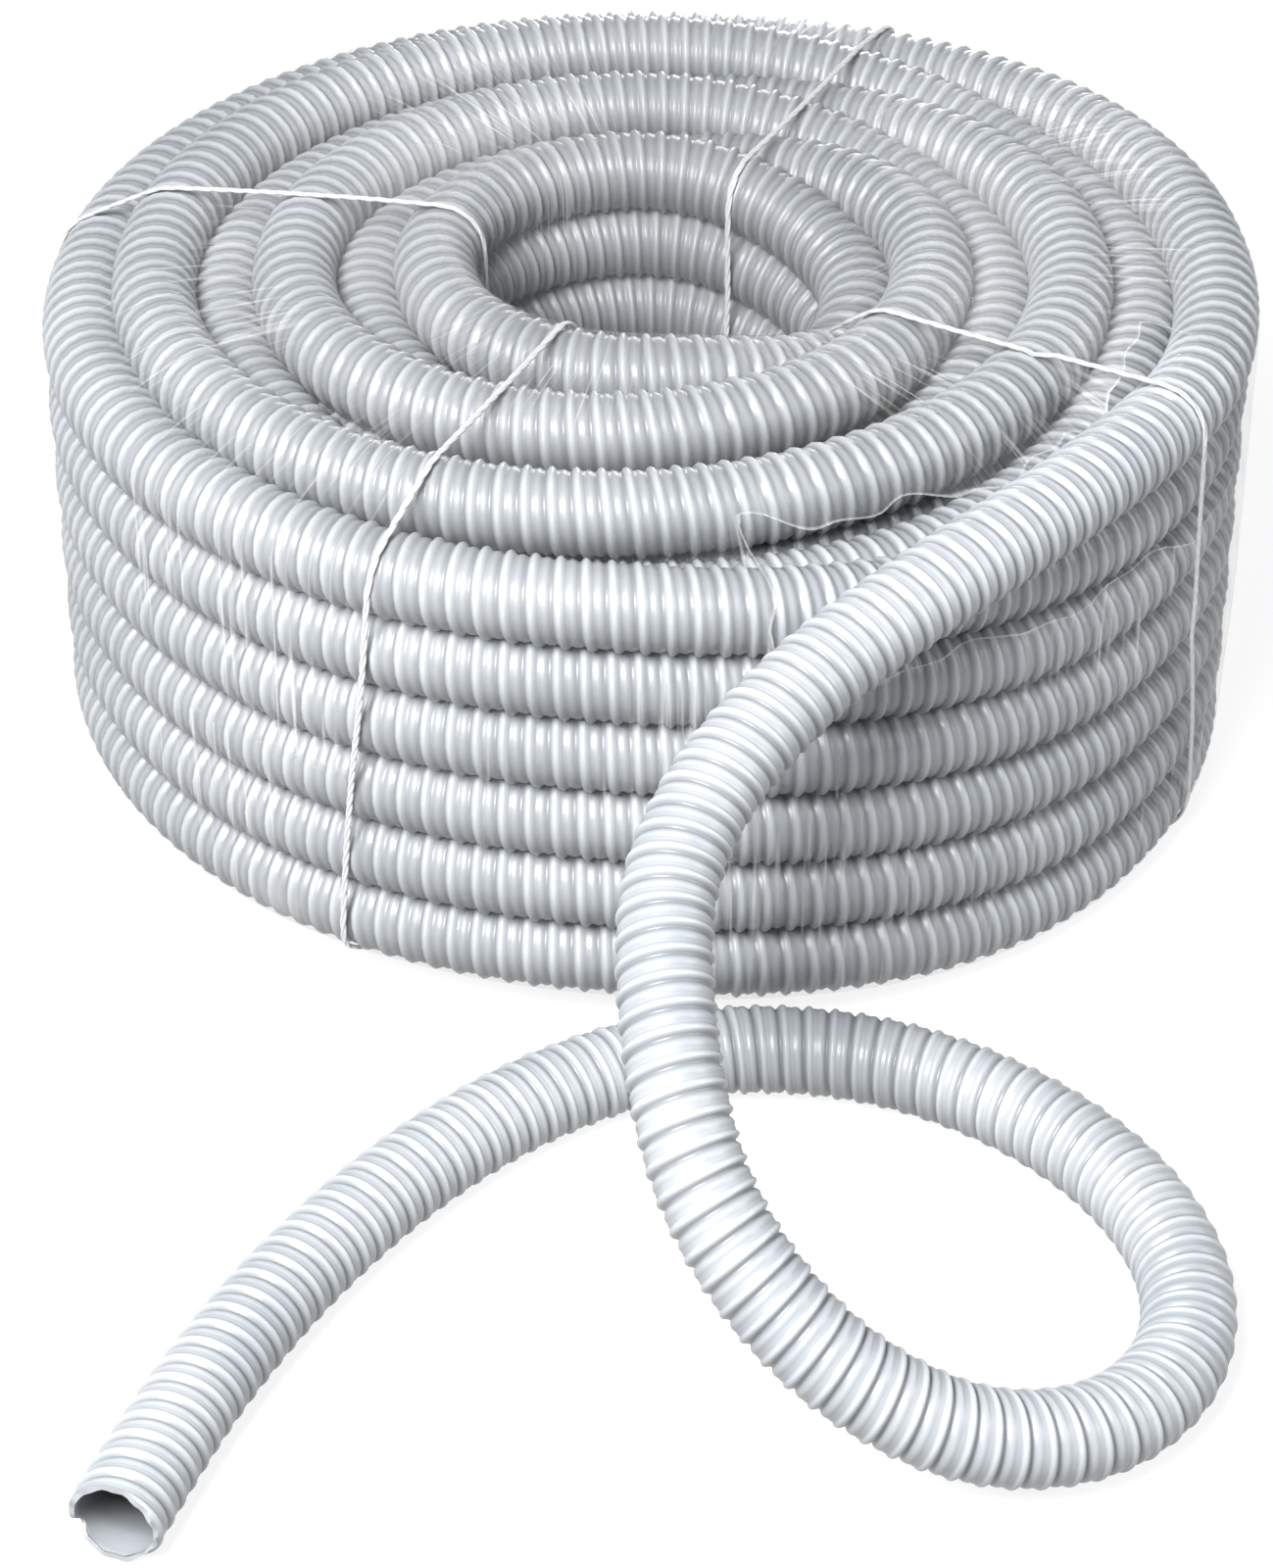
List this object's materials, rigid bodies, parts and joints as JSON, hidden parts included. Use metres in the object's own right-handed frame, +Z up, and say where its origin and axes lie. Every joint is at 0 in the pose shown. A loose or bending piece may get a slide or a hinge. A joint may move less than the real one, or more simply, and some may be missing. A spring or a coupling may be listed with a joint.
{
  "type": "vacuum hose",
  "caption": "Ribbed flexible PVC suction hose for a pool or spa, wound in a tied and film-wrapped coil with one loose open end.",
  "frame": {"origin": "on the coil's axis, at the underside of its wrapping, where it rests on the ground", "axes": "+Z up along the coil's axis; -Y towards the side where the tail lies; +X towards the side where the tail leaves the top turn"},
  "size_m": [0.613, 0.9542, 0.2835],
  "materials": {
    "hose_pvc": "gloss",
    "clear_film": "gloss",
    "twine": "matte"
  },
  "bodies": {
    "root": {"hose_coil": "hose_pvc", "hose_tail": "hose_pvc", "stretch_film": "clear_film", "tie_front": "twine", "tie_right": "twine", "tie_back": "twine", "tie_left": "twine"}
  },
  "joints": []
}
